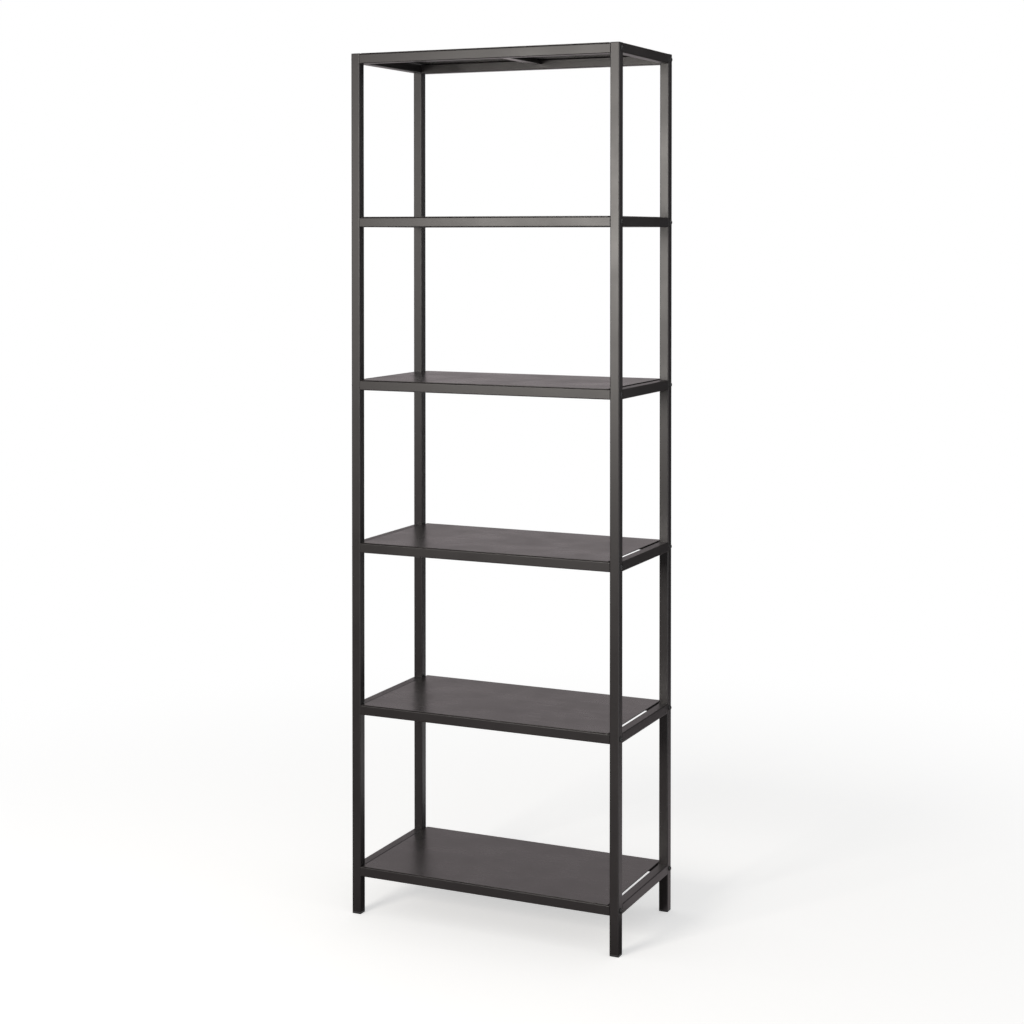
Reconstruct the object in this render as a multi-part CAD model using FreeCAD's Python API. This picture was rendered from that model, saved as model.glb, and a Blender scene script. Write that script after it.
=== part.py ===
import FreeCAD, Part
import math
import os

# Open bookcase of square steel tube. Millimetres, +Z up, front towards -Y, left is -X.
# The origin is on the floor, under the middle of the frame.

# Overall sizes of the frame, measured across the posts and from the floor to the post caps
frame_width = 600.0
frame_depth = 300.0
overall_height = 1800.0

# Square tube of the posts and rails
tube_size = 20.0
tube_wall = 1.2
tube_inner_radius = 0.8

# Shelf levels: the highest sheet and side rails are level with the caps of the posts
shelf_count = 6
lowest_rail_top = 100.0

# Flat sheet of a shelf, on top of the front and rear rails and short of the side rails
sheet_thickness = 1.5
sheet_edge_flat = 0.3
sheet_edge_inset = 0.3
sheet_end_gap = 3.5

# Flat tube under the middle of a shelf sheet
brace_width = 20.0
brace_height = 10.0
brace_wall = 1.0
brace_inner_radius = 0.5

# Button-head bolts through the posts into the ends of the long rails
bolt_diameter = 6.0
bolt_thread_reach = 10.0
bolt_end_chamfer = 0.8
bolt_head_diameter = 10.5
bolt_head_height = 3.3
bolt_head_rim = 0.8
bolt_dome_bulge = 0.35
bolt_hole_clearance = 0.6

# Hexagonal key socket in each bolt head, with a flat border around it
socket_sides = 6
socket_size = 4.0
socket_depth = 2.0
socket_border = 0.7

# Threaded block fixed in each end of a long rail
block_length = 14.0
block_corner_relief = 0.8
thread_clearance = 0.1

# Plastic plugs in the ends of the posts: feet below, caps above
foot_flange = 3.0
foot_plug_depth = 15.0
cap_flange = 1.5
cap_bolt_clearance = 2.0
plug_clearance = 0.1
plug_edge_radius = 0.8

# Sizes and places that follow from those above
tube_bore = tube_size - 2 * tube_wall
tube_outer_radius = tube_inner_radius + tube_wall
post_x = (frame_width - tube_size) / 2
post_y = (frame_depth - tube_size) / 2
post_bottom = foot_flange
post_top = overall_height - cap_flange
highest_rail_top = overall_height - sheet_thickness
long_rail_length = frame_width - 2 * tube_size
side_rail_length = frame_depth - 2 * tube_size
shelf_pitch = (highest_rail_top - lowest_rail_top) / (shelf_count - 1)
rail_tops = [lowest_rail_top + level * shelf_pitch for level in range(shelf_count)]
side_rail_tops = rail_tops[:-1] + [overall_height]
sheet_edge_radius = (sheet_thickness - sheet_edge_flat) / 2
bolt_length = tube_size + bolt_thread_reach
socket_corner_radius = socket_size / 2 / math.cos(math.pi / socket_sides)

# How closely an edge has to match when it is picked for rounding
pick_tolerance = 0.001

X_AXIS = FreeCAD.Vector(1, 0, 0)
Y_AXIS = FreeCAD.Vector(0, 1, 0)
Z_AXIS = FreeCAD.Vector(0, 0, 1)
ORIGIN = FreeCAD.Vector(0, 0, 0)
SIDES = {"left": -1, "right": 1}
ROWS = {"front": -1, "rear": 1}


def runs_along(edge, axis):
    """True for a straight edge parallel to the axis."""
    span = edge.lastVertex().Point - edge.firstVertex().Point
    return span.cross(axis).Length < pick_tolerance


def edges_at_height(shape, height):
    """Edges that lie in the level plane at the height."""
    level = []
    for edge in shape.Edges:
        box = edge.BoundBox
        if abs(box.Center.z - height) < pick_tolerance and box.ZLength < pick_tolerance:
            level.append(edge)
    return level


def laid_along(shape, axis, start):
    """Copy of a shape made along +Z, turned to run along the axis from the start point."""
    laid = shape.copy()
    laid.Placement = FreeCAD.Placement(start, FreeCAD.Rotation(Z_AXIS, axis))
    return laid


def bar(width, height, length, corner_radius):
    """Solid bar along +Z from the origin, centred on Z, with rounded long corners."""
    block = Part.makeBox(width, height, length, FreeCAD.Vector(-width / 2, -height / 2, 0))
    corners = [edge for edge in block.Edges if runs_along(edge, Z_AXIS)]
    return block.makeFillet(corner_radius, corners)


def hollow_tube(width, height, length, wall, inner_radius):
    """Open-ended tube along +Z from the origin."""
    outside = bar(width, height, length, inner_radius + wall)
    inside = bar(width - 2 * wall, height - 2 * wall, length, inner_radius)
    return outside.cut(inside)


def square_tube(length):
    """Length of the tube that the posts and rails are cut from."""
    return hollow_tube(tube_size, tube_size, length, tube_wall, tube_inner_radius)


def post(side, row):
    """Upright, drilled through both side walls at each shelf for a bolt."""
    upright = square_tube(post_top - post_bottom)
    upright.translate(FreeCAD.Vector(side * post_x, row * post_y, post_bottom))
    hole_radius = (bolt_diameter + bolt_hole_clearance) / 2
    for top in rail_tops:
        start = FreeCAD.Vector(side * post_x - tube_size / 2, row * post_y, top - tube_size / 2)
        upright = upright.cut(Part.makeCylinder(hole_radius, tube_size, start, X_AXIS))
    return upright


def side_rail(side, top):
    """Rung between the front and rear posts of one side."""
    start = FreeCAD.Vector(side * post_x, -side_rail_length / 2, top - tube_size / 2)
    return laid_along(square_tube(side_rail_length), Y_AXIS, start)


def long_rail(row, top):
    """Front or rear rail of a shelf, between the left and right posts."""
    start = FreeCAD.Vector(-long_rail_length / 2, row * post_y, top - tube_size / 2)
    return laid_along(square_tube(long_rail_length), X_AXIS, start)


def shelf_sheet(top):
    """Sheet that lies on the long rails, its front and rear edges rounded by the coating."""
    width = frame_depth - 2 * sheet_edge_inset
    length = long_rail_length - 2 * sheet_end_gap
    sheet = bar(sheet_thickness, width, length, sheet_edge_radius)
    return laid_along(sheet, X_AXIS, FreeCAD.Vector(-length / 2, 0, top + sheet_thickness / 2))


def shelf_brace(top):
    """Flat tube between the long rails, against the underside of the sheet."""
    tube = hollow_tube(brace_width, brace_height, side_rail_length, brace_wall, brace_inner_radius)
    start = FreeCAD.Vector(0, -side_rail_length / 2, top - brace_height / 2)
    return laid_along(tube, Y_AXIS, start)


def key_socket():
    """Prism that is cut into the crown of a bolt head."""
    floor = bolt_head_height - socket_depth
    corners = []
    for side in range(socket_sides + 1):
        angle = 2 * math.pi * side / socket_sides
        across = socket_corner_radius * math.cos(angle)
        along = socket_corner_radius * math.sin(angle)
        corners.append(FreeCAD.Vector(across, along, floor))
    outline = Part.Face(Part.makePolygon(corners))
    return outline.extrude(Z_AXIS * socket_depth)


def button_bolt():
    """Bolt along Z, with the underside of its head at the origin and its shank below."""
    shank_radius = bolt_diameter / 2
    head_radius = bolt_head_diameter / 2
    crown = FreeCAD.Vector(0, 0, bolt_head_height)
    tip = FreeCAD.Vector(0, 0, -bolt_length)
    tip_edge = FreeCAD.Vector(shank_radius - bolt_end_chamfer, 0, -bolt_length)
    shank_end = FreeCAD.Vector(shank_radius, 0, bolt_end_chamfer - bolt_length)
    shank_top = FreeCAD.Vector(shank_radius, 0, 0)
    seat_edge = FreeCAD.Vector(head_radius, 0, 0)
    rim = FreeCAD.Vector(head_radius, 0, bolt_head_rim)
    crown_edge = FreeCAD.Vector(socket_corner_radius + socket_border, 0, bolt_head_height)
    bulge = Y_AXIS.cross(crown_edge - rim).normalize() * bolt_dome_bulge
    dome = Part.Arc(rim, (rim + crown_edge) / 2 + bulge, crown_edge).toShape()
    outline = Part.makePolygon([crown_edge, crown, tip, tip_edge, shank_end, shank_top, seat_edge, rim])
    profile = Part.Face(Part.Wire(outline.Edges + [dome]))
    return profile.revolve(ORIGIN, Z_AXIS, 360).cut(key_socket())


def at_rail_ends(pattern, distance, facing):
    """Copies of a pattern at both ends of every long rail, this far from the middle."""
    copies = []
    for side in SIDES.values():
        for row in ROWS.values():
            for top in rail_tops:
                place = FreeCAD.Vector(side * distance, row * post_y, top - tube_size / 2)
                copies.append(laid_along(pattern, X_AXIS * side * facing, place))
    return Part.makeCompound(copies)


def shelf_bolts():
    """All bolts, each with its head on the outer face of a post."""
    return at_rail_ends(button_bolt(), frame_width / 2, 1)


def rail_end_blocks():
    """All threaded blocks, flush with the rail ends and snug on the flats of the bore."""
    block = bar(tube_bore, tube_bore, block_length, tube_inner_radius + block_corner_relief)
    thread_radius = (bolt_diameter + thread_clearance) / 2
    block = block.cut(Part.makeCylinder(thread_radius, block_length))
    return at_rail_ends(block, long_rail_length / 2, -1)


def tube_plug(flange, depth):
    """Plug for a post end: its flange stands on the origin and its body reaches down."""
    head = bar(tube_size, tube_size, flange, tube_outer_radius)
    head = head.makeFillet(plug_edge_radius, edges_at_height(head, flange))
    body_size = tube_bore - 2 * plug_clearance
    body = bar(body_size, body_size, depth, tube_inner_radius)
    body.translate(FreeCAD.Vector(0, 0, -depth))
    return head.fuse(body).removeSplitter()


def foot(side, row):
    """Plug in the lower end of a post, which stands on the floor."""
    seat = FreeCAD.Vector(side * post_x, row * post_y, post_bottom)
    return laid_along(tube_plug(foot_flange, foot_plug_depth), Z_AXIS * -1, seat)


def cap(side, row):
    """Plug in the upper end of a post, short enough to clear the highest bolt."""
    bolt_crest = highest_rail_top - (tube_size - bolt_diameter) / 2
    depth = post_top - bolt_crest - cap_bolt_clearance
    seat = FreeCAD.Vector(side * post_x, row * post_y, post_top)
    return laid_along(tube_plug(cap_flange, depth), Z_AXIS, seat)


def all_pieces():
    """Every piece of the bookcase by its name."""
    pieces = {}
    for row_name, row in ROWS.items():
        for side_name, side in SIDES.items():
            corner = f"{row_name}_{side_name}"
            pieces[f"post_{corner}"] = post(side, row)
            pieces[f"foot_{corner}"] = foot(side, row)
            pieces[f"cap_{corner}"] = cap(side, row)
    for number, (top, side_top) in enumerate(zip(rail_tops, side_rail_tops), start=1):
        for side_name, side in SIDES.items():
            pieces[f"side_rail_{side_name}_{number}"] = side_rail(side, side_top)
        for row_name, row in ROWS.items():
            pieces[f"{row_name}_rail_{number}"] = long_rail(row, top)
        pieces[f"shelf_sheet_{number}"] = shelf_sheet(top)
        pieces[f"shelf_brace_{number}"] = shelf_brace(top)
    pieces["shelf_bolts"] = shelf_bolts()
    pieces["rail_end_blocks"] = rail_end_blocks()
    return pieces


os.makedirs("parts", exist_ok=True)
for name, shape in all_pieces().items():
    shape.exportStep(f"parts/{name}.step")
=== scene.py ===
import math

import bpy
from bpy.props import FloatProperty, FloatVectorProperty, PointerProperty
from bpy.types import Operator, Panel, PropertyGroup
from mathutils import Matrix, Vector


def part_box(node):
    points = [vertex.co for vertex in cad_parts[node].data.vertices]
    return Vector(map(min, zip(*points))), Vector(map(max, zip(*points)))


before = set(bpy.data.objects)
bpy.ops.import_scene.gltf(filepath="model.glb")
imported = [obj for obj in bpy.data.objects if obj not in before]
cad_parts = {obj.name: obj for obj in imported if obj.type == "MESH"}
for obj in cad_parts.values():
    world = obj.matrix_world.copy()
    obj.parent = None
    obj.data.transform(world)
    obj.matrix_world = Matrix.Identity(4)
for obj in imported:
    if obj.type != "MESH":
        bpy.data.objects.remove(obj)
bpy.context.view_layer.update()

bl_info = {
    "name": "Metal bookcase finishes",
    "version": (1, 0, 0),
    "blender": (4, 5, 0),
    "location": "3D View > Sidebar > Bookcase",
    "description": "Finishes an open bookcase of square steel tube and lights it for a picture",
    "category": "Material",
}


def middle_of(node):
    """Middle of a piece at rest, in metres."""
    low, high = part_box(node)
    return (low + high) / 2


# Where the tubes run, read from the model: the finishes find corners and bolts from these
POST = middle_of("post_front_right")
POST_X, POST_Y = abs(POST.x), abs(POST.y)
FIRST_RAIL = middle_of("front_rail_1")
SHELF_PITCH = middle_of("front_rail_2").z - FIRST_RAIL.z
TUBE_HALF = (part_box("front_rail_1")[1].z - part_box("front_rail_1")[0].z) / 2
BOLT_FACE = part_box("shelf_bolts")[1].x
SHEET_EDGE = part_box("shelf_sheet_1")[1].y

# Tints of the stage; the second tints the glowing panes that paint reflections on the coat
WHITE = (1, 1, 1, 1)
REFLECTION_GLOW_TINT = (1.0, 0.90, 0.92, 1.0)

# Colour sockets of a Mix node, by number because their names repeat
MIX_FIRST, MIX_SECOND, MIX_RESULT = 6, 7, 2

# Middle of a noise, of a blend and of one turn
HALF = 0.5


class CoatSettings(PropertyGroup):
    """Powder coat of the tubes and shelf sheets."""

    colour: FloatVectorProperty(
        name="Coat colour", description="Colour of the powder coat on the tubes",
        subtype="COLOR", size=3, min=0, max=1, default=(0.0218, 0.0187, 0.0190))
    sheet_colour: FloatVectorProperty(
        name="Shelf colour", description="Colour of the powder coat on the shelf sheets",
        subtype="COLOR", size=3, min=0, max=1, default=(0.0232, 0.0200, 0.0202))
    dust_colour: FloatVectorProperty(
        name="Dust colour", description="Colour of the thin dust on surfaces that face up",
        subtype="COLOR", size=3, min=0, max=1, default=(0.20, 0.19, 0.175))
    roughness: FloatProperty(
        name="Roughness", description="Roughness of the satin coat on the tubes",
        subtype="FACTOR", min=0, max=1, default=0.37)
    sheet_roughness: FloatProperty(
        name="Shelf roughness", description="Roughness of the satin coat on the shelf sheets",
        subtype="FACTOR", min=0, max=1, default=0.28)
    brace_roughness: FloatProperty(
        name="Brace roughness",
        description="Roughness of the thinner coat on the braces under the shelves",
        subtype="FACTOR", min=0, max=1, default=0.19)
    peel_size: FloatProperty(
        name="Orange peel size", description="Width of the soft waves in the coat",
        unit="LENGTH", min=0.0002, max=0.02, default=0.0022, precision=5)
    grain_size: FloatProperty(
        name="Grain size", description="Width of the fine texture in the coat",
        unit="LENGTH", min=0.0001, max=0.01, default=0.0006, precision=5)
    relief: FloatProperty(
        name="Relief", description="Height of the coat's texture",
        unit="LENGTH", min=0, max=0.001, default=0.00003, precision=6)
    sheet_wave: FloatProperty(
        name="Sheet wave", description="Height of the soft waves in the thin shelf sheets",
        unit="LENGTH", min=0, max=0.01, default=0.0007, precision=5)
    edge_wear: FloatProperty(
        name="Edge wear", description="How far the coat is rubbed bright along the tube corners",
        subtype="FACTOR", min=0, max=1, default=0.12)
    dust: FloatProperty(
        name="Dust", description="How much dust lies on surfaces that face up",
        subtype="FACTOR", min=0, max=1, default=0.05)


class HardwareSettings(PropertyGroup):
    """Bolts, threaded blocks, caps and feet."""

    bolt_colour: FloatVectorProperty(
        name="Bolt colour", description="Colour of the black coating on the bolts",
        subtype="COLOR", size=3, min=0, max=1, default=(0.018, 0.018, 0.019))
    bare_steel: FloatVectorProperty(
        name="Bare steel", description="Colour of steel where the coating is rubbed off",
        subtype="COLOR", size=3, min=0, max=1, default=(0.46, 0.455, 0.45))
    bolt_roughness: FloatProperty(
        name="Bolt roughness", description="Roughness of the black coating",
        subtype="FACTOR", min=0, max=1, default=0.36)
    block_roughness: FloatProperty(
        name="Block roughness", description="Roughness of the sawn steel of the threaded blocks",
        subtype="FACTOR", min=0, max=1, default=0.34)
    plastic_colour: FloatVectorProperty(
        name="Plastic colour", description="Colour of the caps and feet",
        subtype="COLOR", size=3, min=0, max=1, default=(0.014, 0.014, 0.015))
    plastic_roughness: FloatProperty(
        name="Plastic roughness", description="Roughness of the caps and feet",
        subtype="FACTOR", min=0, max=1, default=0.66)


class StageSettings(PropertyGroup):
    """Floor, light and camera."""

    floor_colour: FloatVectorProperty(
        name="Floor colour", description="Colour of the plain floor",
        subtype="COLOR", size=3, min=0, max=1, default=(0.86, 0.86, 0.855))
    floor_lift: FloatProperty(
        name="Floor lift",
        description="How much brighter the floor looks than it is lit, near the bookcase",
        min=0, max=1, default=0.50)
    ambient: FloatProperty(
        name="Ambient", description="Strength of the even light from all sides",
        min=0, max=10, default=0.42)
    dark_tone: FloatProperty(
        name="Dark cards", description="Brightness of the dark cards that the coat mirrors",
        subtype="FACTOR", min=0, max=1, default=0.04)
    grey_tone: FloatProperty(
        name="Grey card", description="Brightness of the grey card that the shelves mirror",
        subtype="FACTOR", min=0, max=1, default=0.56)
    front_tone: FloatProperty(
        name="Front card",
        description="Brightness of the card that the lowest rails and posts mirror",
        subtype="FACTOR", min=0, max=1, default=0.22)
    key_colour: FloatVectorProperty(
        name="Key colour", description="Colour of the large front light",
        subtype="COLOR", size=3, min=0, max=1, default=(1.0, 0.955, 0.90))
    key_power: FloatProperty(
        name="Key power", description="Power of the large front light, in watts",
        subtype="POWER", min=0, max=1000, default=66)
    key_size: FloatVectorProperty(
        name="Key size", description="Width and height of the large front light",
        unit="LENGTH", size=2, min=0, default=(1.1, 1.0))
    key_place: FloatVectorProperty(
        name="Key place", description="Middle of the large front light",
        subtype="TRANSLATION", unit="LENGTH", size=3, default=(-0.94, -3.25, 1.55))
    key_target: FloatVectorProperty(
        name="Key target", description="Point that the large front light looks at",
        subtype="TRANSLATION", unit="LENGTH", size=3, default=(0.1, 0, 1.5))
    camera_place: FloatVectorProperty(
        name="Camera place", description="Where the camera stands",
        subtype="TRANSLATION", unit="LENGTH", size=3, default=(1.6818, -3.6545, 1.4227))
    camera_turn: FloatVectorProperty(
        name="Camera turn", description="Which way the camera looks",
        subtype="EULER", unit="ROTATION", size=3,
        default=(math.radians(88.9596), 0, math.radians(24.7124)))
    lens: FloatProperty(
        name="Lens", description="Focal length on a 36 mm sensor, in millimetres",
        min=1, max=500, default=67.64)
    lens_drop: FloatProperty(
        name="Lens drop", description="Downward shift of the lens, as a share of the picture",
        min=-1, max=1, default=-0.2365)


class Value:
    """An output of a shader node that takes part in Python arithmetic."""

    def __init__(self, shader, socket):
        self.shader = shader
        self.socket = socket

    def output(self, name):
        """Another output of the same node."""
        return Value(self.shader, self.socket.node.outputs[name])

    def __add__(self, other):
        return self.shader.math("ADD", self, other)

    def __sub__(self, other):
        return self.shader.math("SUBTRACT", self, other)

    def __rsub__(self, other):
        return self.shader.math("SUBTRACT", other, self)

    def __mul__(self, other):
        return self.shader.math("MULTIPLY", self, other)

    def __truediv__(self, other):
        return self.shader.math("DIVIDE", self, other)

    def __rtruediv__(self, other):
        return self.shader.math("DIVIDE", other, self)

    def __pow__(self, other):
        return self.shader.math("POWER", self, other)

    def __rpow__(self, other):
        return self.shader.math("POWER", other, self)

    def __abs__(self):
        return self.shader.math("ABSOLUTE", self)

    __radd__ = __add__
    __rmul__ = __mul__

    def least(self, other):
        return self.shader.math("MINIMUM", self, other)

    def most(self, other):
        return self.shader.math("MAXIMUM", self, other)

    def step(self, start, end):
        """Smooth rise from 0 at the start to 1 at the end."""
        return self.shader.node(
            "ShaderNodeMapRange", {"interpolation_type": "SMOOTHSTEP"},
            {"Value": self, "From Min": start, "From Max": end})

    def swing(self, width):
        """A noise laid evenly round zero, this wide from its least to its most."""
        return (self - HALF) * width


class Shader:
    """A node tree that is written as Python expressions."""

    def __init__(self, owner):
        owner.use_nodes = True
        self.tree = owner.node_tree
        self.tree.nodes.clear()

    def node(self, kind, settings=None, sockets=None, output=0):
        """Add a node, set it up, fill its sockets and give one of its outputs."""
        made = self.tree.nodes.new(kind)
        for name, setting in (settings or {}).items():
            setattr(made, name, setting)
        for key, value in (sockets or {}).items():
            if isinstance(value, Value):
                self.tree.links.new(value.socket, made.inputs[key])
            else:
                made.inputs[key].default_value = value
        if not made.outputs:
            return None
        return Value(self, made.outputs[output])

    def math(self, operation, *operands):
        """Result of a Math node on values and numbers."""
        return self.node("ShaderNodeMath", {"operation": operation}, dict(enumerate(operands)))

    def noise(self, place, scale, detail):
        """Soft noise between 0 and 1 with this many features to a unit of the place."""
        return self.node(
            "ShaderNodeTexNoise", {"noise_dimensions": "3D"},
            {"Vector": place, "Scale": scale, "Detail": detail})

    def blend(self, factor, first, second):
        """Colour between two colours."""
        return self.node(
            "ShaderNodeMix", {"data_type": "RGBA"},
            {"Factor": factor, MIX_FIRST: first, MIX_SECOND: second}, MIX_RESULT)

    def bump(self, height, distance, normal=None):
        """Normal of a relief, with the distance in metres that a height of 1 stands for."""
        sockets = {"Strength": 1.0, "Distance": distance, "Height": height}
        if normal:
            sockets["Normal"] = normal
        return self.node("ShaderNodeBump", None, sockets)

    def emission(self, colour, strength):
        """Shader that glows evenly in a colour."""
        return self.node("ShaderNodeEmission", None, {"Color": colour, "Strength": strength})

    def seen_rays(self):
        """1 for what is seen straight, in a reflection or through glass, and 0 for light that spreads."""
        rays = self.node("ShaderNodeLightPath", output="Is Camera Ray")
        return rays.most(rays.output("Is Glossy Ray")).most(rays.output("Is Transmission Ray"))

    def finish(self, surface):
        """Make this shader the material's surface."""
        self.node("ShaderNodeOutputMaterial", None, {"Surface": surface})


class Surface(Shader):
    """A material in the making, with the place of each point in metres at hand."""

    def __init__(self, name):
        self.material = bpy.data.materials.new(name)
        super().__init__(self.material)
        self.place = self.node("ShaderNodeTexCoord", output="Object")
        axes = self.node("ShaderNodeSeparateXYZ", None, {"Vector": self.place})
        self.x, self.y, self.z = (axes.output(axis) for axis in "XYZ")

    def facing(self, axis):
        """How far the surface faces along an axis, from -1 to 1."""
        normal = self.node("ShaderNodeNewGeometry", output="Normal")
        return self.node("ShaderNodeSeparateXYZ", None, {"Vector": normal}, axis)

    def patches(self, size, detail):
        """Soft noise with patches of about this size in metres."""
        return self.noise(self.place, 1 / size, detail)

    def streaks(self, counts, detail):
        """Soft noise with its own count of patches to the metre along each axis."""
        stretched = self.node(
            "ShaderNodeVectorMath", {"operation": "MULTIPLY"}, {0: self.place, 1: counts})
        return self.noise(stretched, 1.0, detail)

    def from_post_x(self):
        """Distance in X from the middle of the nearest post."""
        return abs(abs(self.x) - POST_X)

    def from_post_y(self):
        """Distance in Y from the middle of the nearest post or long rail."""
        return abs(abs(self.y) - POST_Y)

    def from_rail_z(self):
        """Distance in Z from the middle of the nearest long rail."""
        turn = (self.z - FIRST_RAIL.z) / SHELF_PITCH + HALF
        return abs(self.math("FRACT", turn) - HALF) * SHELF_PITCH

    def from_bolt(self):
        """Distance from the axis of the nearest bolt."""
        return (self.from_post_y() ** 2 + self.from_rail_z() ** 2) ** 0.5

    def principled(self, **sockets):
        """Finish the material with a Principled BSDF, whose sockets are named with _ for a space."""
        names = {name.replace("_", " "): value for name, value in sockets.items()}
        self.finish(self.node("ShaderNodeBsdfPrincipled", None, names))
        return self.material


def rgba(colour, gain=1.0):
    """Opaque colour, brighter or darker by the gain."""
    return (*(channel * gain for channel in colour), 1.0)


# Powder coat: sizes in metres, rises from no mark to a full mark, tones as multiples of its colour
COAT_IOR = 1.5
DRIFT_SIZE = 0.09
DRIFT_TONES = (0.86, 1.14)
TONE_DRIFT, TONE_PEEL = 0.6, 0.35
# Painted glints: size, rise and share of the sparse lighter flecks that stand in for glints off the
# coat's grain
GLINT_TO_GRAIN = 1.6
GLINT_RISE = (0.66, 0.80)
GLINT_SHARE = 0.30
RUB_SIZE = 0.012
RUB_RISE = (0.38, 0.70)
RUB_AND_GLINT_TONE = 2.2
RUB_POLISH = 0.20
FACING_UP = (0.6, 0.98)
DUST_SIZE = 0.05
DUST_RISE = (0.3, 0.75)
DUST_ROUGHNESS = 0.8
ROUGH_DRIFT, ROUGH_GRAIN = 0.14, 0.10
PEEL_RELIEF, GRAIN_RELIEF = 0.55, 0.45


def powder_coat(surface, coat, colour, roughness, corner):
    """Satin powder coat: orange peel, fine grain, drift of tone, painted glints, rubbed corners and dust.
    """
    peel = surface.patches(coat.peel_size, detail=1.5)
    grain = surface.patches(coat.grain_size, detail=1.0)
    drift = surface.patches(DRIFT_SIZE, detail=3.0)
    # Painted glints: sparse lighter flecks in the coat's colour stand in for glints off its fine texture
    painted_glint = surface.patches(coat.grain_size * GLINT_TO_GRAIN, detail=0.0).step(*GLINT_RISE)
    rubbed = corner * surface.patches(RUB_SIZE, detail=3.0).step(*RUB_RISE) * coat.edge_wear
    upward = surface.facing("Z").step(*FACING_UP)
    dusty = upward * surface.patches(DUST_SIZE, detail=4.0).step(*DUST_RISE)
    dark, pale = (rgba(colour, gain) for gain in DRIFT_TONES)
    tone = drift.swing(TONE_DRIFT) + peel.swing(TONE_PEEL) + HALF
    shade = surface.blend(tone, dark, pale)
    # Towards the pale tone: painted glints, plus the real wear of the rubbed corners
    shade = surface.blend(painted_glint * GLINT_SHARE + rubbed, shade, rgba(colour, RUB_AND_GLINT_TONE))
    shade = surface.blend(dusty * coat.dust, shade, rgba(coat.dust_colour))
    rough = drift.swing(ROUGH_DRIFT) + grain.swing(ROUGH_GRAIN) + roughness
    rough = rough - rubbed * RUB_POLISH + dusty * coat.dust * DUST_ROUGHNESS
    height = peel * PEEL_RELIEF + grain * GRAIN_RELIEF
    return shade, rough, height


# Tube corners: where the rubbing begins and is full, in metres inside the outer faces
CORNER_START, CORNER_FULL = 0.0030, 0.0008


def tube_coat(name, coat, *section):
    """Coat on square tube whose section lies in two of the axes, with its corners rubbed."""
    surface = Surface(name)
    distances = {"x": surface.from_post_x, "y": surface.from_post_y, "z": surface.from_rail_z}
    first, second = (distances[axis]() for axis in section)
    corner = first.least(second).step(TUBE_HALF - CORNER_START, TUBE_HALF - CORNER_FULL)
    shade, rough, height = powder_coat(surface, coat, coat.colour, coat.roughness, corner)
    if "z" not in section:
        shade, rough = bolt_seats(surface, coat, shade, rough)
    return surface.principled(
        Base_Color=shade, Roughness=rough, IOR=COAT_IOR,
        Normal=surface.bump(height, coat.relief))


# Bolt seats: rises of the scuffed ring's inner and outer rims in metres from the axis
SEAT_INNER = (0.0050, 0.0054)
SEAT_OUTER = (0.0072, 0.0058)
FACING_SIDEWAYS = (0.9, 1.0)
SCUFF_SIZE = 0.0016
SCUFF_RISE = (0.35, 0.65)
SCUFF_SHARE = 0.5
SCUFF_TONE = 2.6
SCUFF_POLISH = 0.14


def bolt_seats(surface, coat, shade, rough):
    """Scuffed ring that each bolt head leaves in the coat of a post."""
    reach = surface.from_bolt()
    ring = reach.step(*SEAT_INNER) * reach.step(*SEAT_OUTER)
    ring = ring * abs(surface.facing("X")).step(*FACING_SIDEWAYS)
    scuff = ring * surface.patches(SCUFF_SIZE, detail=2.0).step(*SCUFF_RISE)
    shade = surface.blend(scuff * SCUFF_SHARE, shade, rgba(coat.colour, SCUFF_TONE))
    return shade, rough - scuff * SCUFF_POLISH


# Shelf sheets: rubbing in metres inside the long edges, and counts of lines, drags and waves to the metre
EDGE_START, EDGE_FULL = 0.0016, 0.0002
LINE_COUNTS = (9.0, 420.0, 60.0)
LINE_RISE = (0.35, 0.70)
LINE_SHARE = 0.10
LINE_TONE = 1.5
LINE_ROUGHNESS = 0.10
DRAG_COUNTS = (34.0, 900.0, 60.0)
DRAG_RISE = (0.68, 0.76)
DRAG_SHARE = 0.18
DRAG_TONE = 2.4
DRAG_POLISH = 0.10
DRAG_AREA_SIZE = 0.07
DRAG_AREA_RISE = (0.52, 0.72)
WAVE_COUNTS = (5.5, 8.0, 8.0)


def sheet_coat(name, coat, roughness):
    """Coat on the thin shelf sheets, with their soft waves, rolling lines and light drag marks."""
    surface = Surface(name)
    edge = abs(surface.y).step(SHEET_EDGE - EDGE_START, SHEET_EDGE - EDGE_FULL)
    shade, rough, height = powder_coat(surface, coat, coat.sheet_colour, roughness, edge)
    lines = surface.streaks(LINE_COUNTS, detail=2.0)
    area = surface.patches(DRAG_AREA_SIZE, detail=2.0).step(*DRAG_AREA_RISE)
    drag = surface.streaks(DRAG_COUNTS, detail=1.0).step(*DRAG_RISE) * area
    shade = surface.blend(
        lines.step(*LINE_RISE) * LINE_SHARE, shade, rgba(coat.sheet_colour, LINE_TONE))
    shade = surface.blend(drag * DRAG_SHARE, shade, rgba(coat.sheet_colour, DRAG_TONE))
    rough = rough + lines.swing(LINE_ROUGHNESS) - drag * DRAG_POLISH
    waves = surface.bump(surface.streaks(WAVE_COUNTS, detail=1.0), coat.sheet_wave)
    return surface.principled(
        Base_Color=shade, Roughness=rough, IOR=COAT_IOR,
        Normal=surface.bump(height, coat.relief, waves))


# Bolts: sizes and rises in metres, from the axis for the socket and inside the crown's face for the crown
TURNED_RING = 0.00042
BOLT_PATCH = 0.0011
CROWN_START, CROWN_FULL = 0.0006, 0.0001
SOCKET_RIM = (0.0031, 0.0023)
WORN_RISE = (0.30, 0.62)
WORN_SHARE = 0.65
WORN_POLISH = 0.06
COATED_METAL, WORN_METAL = 0.2, 0.75
GRIME_RISE = (0.45, 0.75)
GRIME_SHARE = 0.5
GRIME_TONE = 1.7
BOLT_ROUGH_DRIFT = 0.22
RING_RELIEF, PATCH_RELIEF = 0.35, 0.65
BOLT_RELIEF = 0.000014


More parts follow.
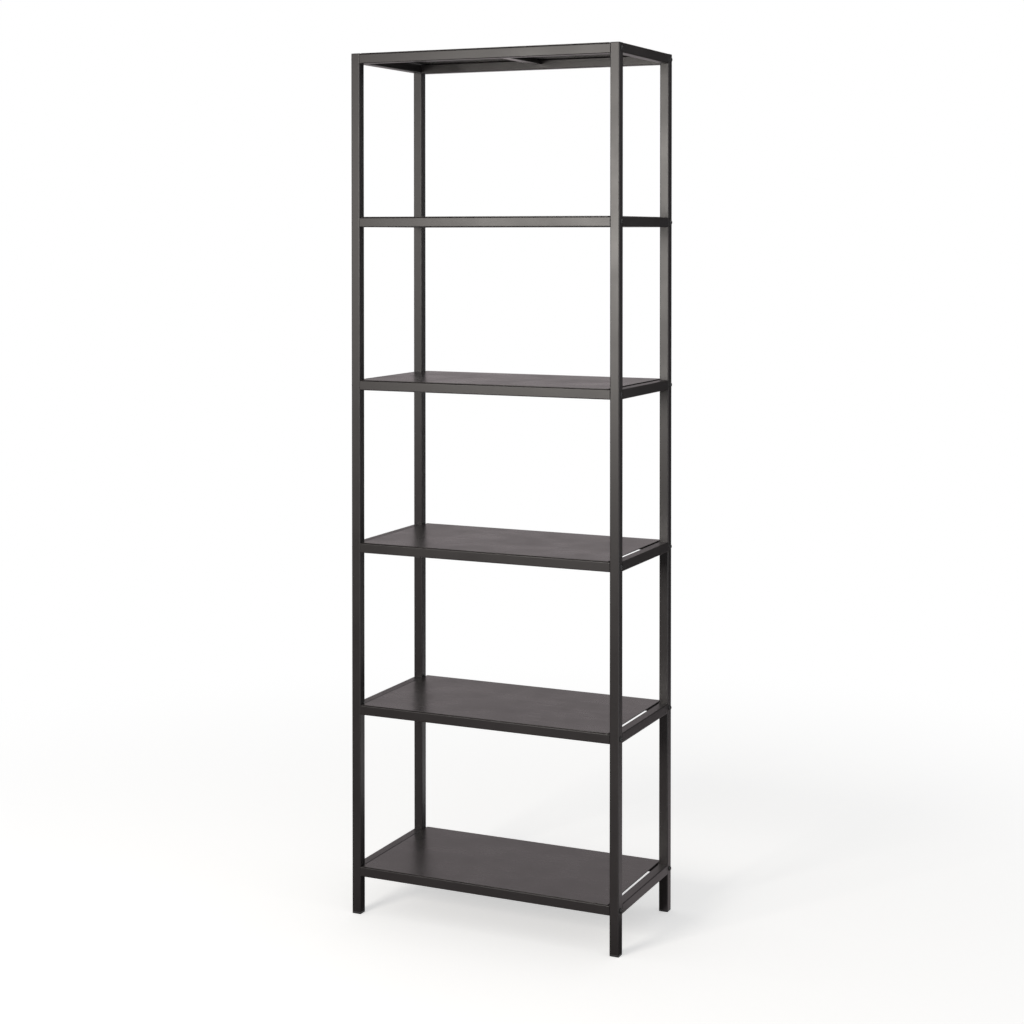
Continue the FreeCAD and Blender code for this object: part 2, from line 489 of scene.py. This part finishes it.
def bolt_finish(name, hardware):
    """Black coated steel with turned rings, worn bright round the key socket."""
    surface = Surface(name)
    reach = surface.from_bolt()
    rings = surface.math("SINE", reach * (2 * math.pi / TURNED_RING)) * HALF + HALF
    patch = surface.patches(BOLT_PATCH, detail=3.0)
    crown = abs(surface.x).step(BOLT_FACE - CROWN_START, BOLT_FACE - CROWN_FULL)
    worn = crown * reach.step(*SOCKET_RIM) * patch.step(*WORN_RISE)
    grime = patch.step(*GRIME_RISE)
    shade = surface.blend(
        grime * GRIME_SHARE, rgba(hardware.bolt_colour), rgba(hardware.bolt_colour, GRIME_TONE))
    shade = surface.blend(worn * WORN_SHARE, shade, rgba(hardware.bare_steel))
    rough = patch.swing(BOLT_ROUGH_DRIFT) - worn * WORN_POLISH + hardware.bolt_roughness
    relief = rings * RING_RELIEF + patch * PATCH_RELIEF
    return surface.principled(
        Base_Color=shade, Roughness=rough, Metallic=worn * WORN_METAL + COATED_METAL,
        Normal=surface.bump(relief, BOLT_RELIEF))


# Threaded blocks: counts of saw lines to the metre, and sizes in metres
SAW_COUNTS = (2600.0, 220.0, 2600.0)
SAW_ROUGHNESS = 0.20
SAW_RELIEF = 0.00002
BLOOM_SIZE = 0.006
BLOOM_RISE = (0.40, 0.70)
BLOOM_SHARE = 0.45
BLOOM_TONE = 0.6
BLOOM_ROUGHNESS = 0.10


def block_finish(name, hardware):
    """Plain steel with saw lines and a light oily bloom."""
    surface = Surface(name)
    lines = surface.streaks(SAW_COUNTS, detail=2.0)
    bloom = surface.patches(BLOOM_SIZE, detail=3.0).step(*BLOOM_RISE)
    shade = surface.blend(
        bloom * BLOOM_SHARE, rgba(hardware.bare_steel), rgba(hardware.bare_steel, BLOOM_TONE))
    rough = lines.swing(SAW_ROUGHNESS) + bloom * BLOOM_ROUGHNESS + hardware.block_roughness
    return surface.principled(
        Base_Color=shade, Roughness=rough, Metallic=1.0, Normal=surface.bump(lines, SAW_RELIEF))


# Plastic plugs: sizes in metres, and rises of the gate mark's rims in metres from the post's axis
PLASTIC_IOR = 1.49
SKIN_SIZE = 0.00045
MOULD_SIZE = 0.006
MOULD_TONES = (0.8, 1.3)
GATE_OUTER = (0.0019, 0.0016)
GATE_INNER = (0.0012, 0.0009)
FLOOR_RUB = (0.0022, 0.0002)
FLOOR_SCUFF_SIZE = 0.0012
FLOOR_SCUFF_RISE = (0.45, 0.70)
FLOOR_SCUFF_SHARE = 0.5
FLOOR_SCUFF_TONE = 4.0
FLOOR_SCUFF_ROUGHNESS = 0.12
ROUGH_MOULD, ROUGH_SKIN = 0.14, 0.10
SKIN_RELIEF, GATE_RELIEF = 0.35, 0.65
PLASTIC_RELIEF = 0.00006


def plastic_finish(name, hardware):
    """Matt moulded plastic with a spark-textured skin, a gate mark and floor scuffs."""
    surface = Surface(name)
    skin = surface.patches(SKIN_SIZE, detail=2.0)
    drift = surface.patches(MOULD_SIZE, detail=3.0)
    centre = (surface.from_post_x() ** 2 + surface.from_post_y() ** 2) ** 0.5
    gate = centre.step(*GATE_OUTER) - centre.step(*GATE_INNER)
    scuff = surface.patches(FLOOR_SCUFF_SIZE, detail=3.0).step(*FLOOR_SCUFF_RISE)
    scuff = surface.z.step(*FLOOR_RUB) * scuff
    dark, pale = (rgba(hardware.plastic_colour, gain) for gain in MOULD_TONES)
    shade = surface.blend(drift, dark, pale)
    shade = surface.blend(
        scuff * FLOOR_SCUFF_SHARE, shade, rgba(hardware.plastic_colour, FLOOR_SCUFF_TONE))
    rough = drift.swing(ROUGH_MOULD) + skin.swing(ROUGH_SKIN)
    rough = rough + scuff * FLOOR_SCUFF_ROUGHNESS + hardware.plastic_roughness
    relief = skin * SKIN_RELIEF + gate * GATE_RELIEF
    return surface.principled(
        Base_Color=shade, Roughness=rough, IOR=PLASTIC_IOR,
        Normal=surface.bump(relief, PLASTIC_RELIEF))


def dress(material, *starts):
    """Put a material on every model node whose name starts with one of these words."""
    for name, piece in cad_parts.items():
        if name.startswith(starts):
            piece.data.materials.clear()
            piece.data.materials.append(material)


class BOOKCASE_OT_coat_posts(Operator):
    """Powder coat the four posts"""

    bl_idname = "bookcase.coat_posts"
    bl_label = "Coat posts"

    def execute(self, context):
        dress(tube_coat("post_coat", context.scene.bookcase_coat, "x", "y"), "post_")
        return {"FINISHED"}


class BOOKCASE_OT_coat_long_rails(Operator):
    """Powder coat the front and rear rails"""

    bl_idname = "bookcase.coat_long_rails"
    bl_label = "Coat long rails"

    def execute(self, context):
        coat = context.scene.bookcase_coat
        dress(tube_coat("long_rail_coat", coat, "y", "z"), "front_rail_", "rear_rail_")
        return {"FINISHED"}


class BOOKCASE_OT_coat_side_rails(Operator):
    """Powder coat the rungs of the two side frames"""

    bl_idname = "bookcase.coat_side_rails"
    bl_label = "Coat side rails"

    def execute(self, context):
        dress(tube_coat("side_rail_coat", context.scene.bookcase_coat, "x", "z"), "side_rail_")
        return {"FINISHED"}


class BOOKCASE_OT_coat_shelves(Operator):
    """Powder coat the shelf sheets and the braces under them"""

    bl_idname = "bookcase.coat_shelves"
    bl_label = "Coat shelves"

    def execute(self, context):
        coat = context.scene.bookcase_coat
        dress(sheet_coat("shelf_sheet_coat", coat, coat.sheet_roughness), "shelf_sheet_")
        dress(sheet_coat("shelf_brace_coat", coat, coat.brace_roughness), "shelf_brace_")
        return {"FINISHED"}


class BOOKCASE_OT_finish_bolts(Operator):
    """Blacken the bolts and finish the threaded blocks"""

    bl_idname = "bookcase.finish_bolts"
    bl_label = "Finish bolts"

    def execute(self, context):
        hardware = context.scene.bookcase_hardware
        dress(bolt_finish("blackened_bolt", hardware), "shelf_bolts")
        dress(block_finish("sawn_steel", hardware), "rail_end_blocks")
        return {"FINISHED"}


class BOOKCASE_OT_finish_plugs(Operator):
    """Finish the plastic caps and feet"""

    bl_idname = "bookcase.finish_plugs"
    bl_label = "Finish caps and feet"

    def execute(self, context):
        dress(plastic_finish("moulded_plastic", context.scene.bookcase_hardware), "cap_", "foot_")
        return {"FINISHED"}


def level(left, right, front, rear, height):
    """Corners of a level pane at a height."""
    outline = [(left, front), (right, front), (right, rear), (left, rear)]
    return [(*corner, height) for corner in outline]


def upright(start, end, height):
    """Corners of an upright pane that stands on the floor between two points."""
    return [(*start, 0), (*end, 0), (*end, height), (*start, height)]


# Floor: how far it reaches from the middle, and where it fades to white, in metres
FLOOR_REACH = 40.0
FLOOR_FADE = (0.6, 2.4)

# Glowing panes that only reflections see, painted reflections of dark and grey surroundings, in metres:
# those on the floor lie just above it, the front one higher
GLOW_PANE_HEIGHT = 0.004
FRONT_GLOW_PANE_HEIGHT = 0.006
# Dark panes: painted dark reflections, glowing faintly where walls, ceiling and floor stand in shade
DARK_GLOW_PANES = (
    # Wall far in front, on the left
    upright((-5.5, -5.5), (-0.3, -5.5), 3.6),
    # Wall behind, on the right
    upright((0.32, 2.2), (1.65, 1.637), 2.95),
    # Ceiling
    level(-3.5, 0.6, -5.5, 4.5, 3.6),
    # Floor in front
    level(-5.5, 0.3, -5.5, -0.25, GLOW_PANE_HEIGHT),
    # Floor under the bookcase and close behind it
    level(-0.5, 0.29, -0.25, 0.6, GLOW_PANE_HEIGHT),
    # Floor beside the front right post
    level(0.29, 0.8, -0.25, 0.08, GLOW_PANE_HEIGHT),
    # Floor behind, far to the right
    level(0.8, 2.5, 0.3, 2.5, GLOW_PANE_HEIGHT),
)
# Grey panes: painted grey reflections, glowing as lit walls and floor would
GREY_GLOW_PANES = (
    # Wall behind, on the left
    upright((-2.92, 2.17), (-0.08, 3.63), 2.6),
    # Floor beside the rear right post and behind it
    level(0.29, 0.8, 0.08, 2.5, GLOW_PANE_HEIGHT),
)
# Front pane: painted pale reflection of the floor close in front
FRONT_GLOW_PANES = (
    # Floor close in front
    level(-0.55, 0.3, -2.2, -0.25, FRONT_GLOW_PANE_HEIGHT),
)

# Width of the camera's sensor, in millimetres
SENSOR_WIDTH = 36.0


def new_object(name, data):
    """Object of the stage, put in the scene."""
    made = bpy.data.objects.new(name, data)
    bpy.context.scene.collection.objects.link(made)
    return made


def pane_mesh(name, panes, material):
    """Mesh of separate four-cornered panes."""
    corners = [corner for pane in panes for corner in pane]
    faces = [list(range(first, first + 4)) for first in range(0, len(corners), 4)]
    mesh = bpy.data.meshes.new(name)
    mesh.from_pydata(corners, [], faces)
    mesh.materials.append(material)
    return mesh


def pale_floor(stage):
    """Wide level floor that fades to white and keeps the soft shadow of the bookcase."""
    surface = Surface("pale_floor")
    seen = surface.seen_rays()
    ground = surface.node("ShaderNodeBsdfDiffuse", None, {"Color": rgba(stage.floor_colour)})
    lift = surface.emission(WHITE, stage.floor_lift)
    lifted = surface.node("ShaderNodeAddShader", None, {0: ground, 1: lift})
    near = surface.node("ShaderNodeMixShader", None, {0: seen, 1: ground, 2: lifted})
    white = surface.emission(WHITE, 1.0)
    far = ((surface.x ** 2 + surface.y ** 2) ** 0.5).step(*FLOOR_FADE) * seen
    surface.finish(surface.node("ShaderNodeMixShader", None, {0: far, 1: near, 2: white}))
    pane = level(-FLOOR_REACH, FLOOR_REACH, -FLOOR_REACH, FLOOR_REACH, 0)
    floor = new_object("floor", pane_mesh("floor", [pane], surface.material))


def white_surround(stage):
    """White backdrop for what is seen or mirrored, and even light for the rest."""
    world = bpy.data.worlds.new("studio")
    bpy.context.scene.world = world
    shader = Shader(world)
    light = shader.node("ShaderNodeBackground", None, {"Color": WHITE, "Strength": stage.ambient})
    white = shader.node("ShaderNodeBackground", None, {"Color": WHITE, "Strength": 1.0})
    shown = shader.node("ShaderNodeMixShader", None, {0: shader.seen_rays(), 1: light, 2: white})
    shader.node("ShaderNodeOutputWorld", None, {"Surface": shown})


def key_light(stage):
    """Large soft light in front of the bookcase."""
    lamp = bpy.data.lights.new("key", "AREA")
    lamp.shape = "RECTANGLE"
    lamp.size, lamp.size_y = stage.key_size
    lamp.energy = stage.key_power
    lamp.color = stage.key_colour
    light = new_object("key", lamp)
    light.location = stage.key_place
    aim = Vector(stage.key_target) - Vector(stage.key_place)
    light.rotation_euler = aim.to_track_quat("-Z", "Y").to_euler()
    light.visible_camera = False


def reflection_glow_pane(name, panes, tone):
    """Glowing panes round the bookcase that only its reflections see, as grey as their tone: they paint
    dark, grey and pale reflections on the coat and are no lamps.
    """
    material = bpy.data.materials.new(name)
    shader = Shader(material)
    shader.finish(shader.emission(REFLECTION_GLOW_TINT, tone))
    glow_pane = new_object(name, pane_mesh(name, panes, material))
    glow_pane.visible_camera = False
    glow_pane.visible_diffuse = False
    glow_pane.visible_shadow = False
    glow_pane.visible_transmission = False


def photo_camera(stage):
    """Camera that sees the bookcase from the front right, level with its upper part."""
    lens = bpy.data.cameras.new("camera")
    lens.sensor_fit = "HORIZONTAL"
    lens.sensor_width = SENSOR_WIDTH
    lens.lens = stage.lens
    lens.shift_y = stage.lens_drop
    camera = new_object("camera", lens)
    camera.location = stage.camera_place
    camera.rotation_euler = stage.camera_turn
    bpy.context.scene.camera = camera


class BOOKCASE_OT_set_stage(Operator):
    """Lay the floor, set up the light and the glowing panes that paint reflections, and place the camera
    """

    bl_idname = "bookcase.set_stage"
    bl_label = "Set stage"

    def execute(self, context):
        stage = context.scene.bookcase_stage
        context.scene.view_settings.view_transform = "Standard"
        pale_floor(stage)
        white_surround(stage)
        key_light(stage)
        # Glowing panes that paint the coat's reflections
        reflection_glow_pane("dark_reflection_glow", DARK_GLOW_PANES, stage.dark_tone)
        reflection_glow_pane("grey_reflection_glow", GREY_GLOW_PANES, stage.grey_tone)
        reflection_glow_pane("front_reflection_glow", FRONT_GLOW_PANES, stage.front_tone)
        photo_camera(stage)
        return {"FINISHED"}


GROUPS = {
    "bookcase_coat": CoatSettings,
    "bookcase_hardware": HardwareSettings,
    "bookcase_stage": StageSettings,
}
STEPS = (
    BOOKCASE_OT_coat_posts,
    BOOKCASE_OT_coat_long_rails,
    BOOKCASE_OT_coat_side_rails,
    BOOKCASE_OT_coat_shelves,
    BOOKCASE_OT_finish_bolts,
    BOOKCASE_OT_finish_plugs,
    BOOKCASE_OT_set_stage,
)


class BOOKCASE_PT_panel(Panel):
    """Steps and settings of the bookcase"""

    bl_idname = "BOOKCASE_PT_panel"
    bl_label = "Metal bookcase"
    bl_space_type = "VIEW_3D"
    bl_region_type = "UI"
    bl_category = "Bookcase"

    def draw(self, context):
        for group in GROUPS:
            box = self.layout.box()
            settings = getattr(context.scene, group)
            for name in settings.bl_rna.properties.keys():
                if name not in ("rna_type", "name"):
                    box.prop(settings, name)
        for step in STEPS:
            self.layout.operator(step.bl_idname)


CLASSES = (*GROUPS.values(), *STEPS, BOOKCASE_PT_panel)


def register():
    for made in CLASSES:
        bpy.utils.register_class(made)
    for name, group in GROUPS.items():
        setattr(bpy.types.Scene, name, PointerProperty(type=group))


def unregister():
    for name in GROUPS:
        delattr(bpy.types.Scene, name)
    for made in reversed(CLASSES):
        bpy.utils.unregister_class(made)


def main():
    register()
    bpy.ops.bookcase.coat_posts()
    bpy.ops.bookcase.coat_long_rails()
    bpy.ops.bookcase.coat_side_rails()
    bpy.ops.bookcase.coat_shelves()
    bpy.ops.bookcase.finish_bolts()
    bpy.ops.bookcase.finish_plugs()
    bpy.ops.bookcase.set_stage()


if __name__ == "__main__":
    main()
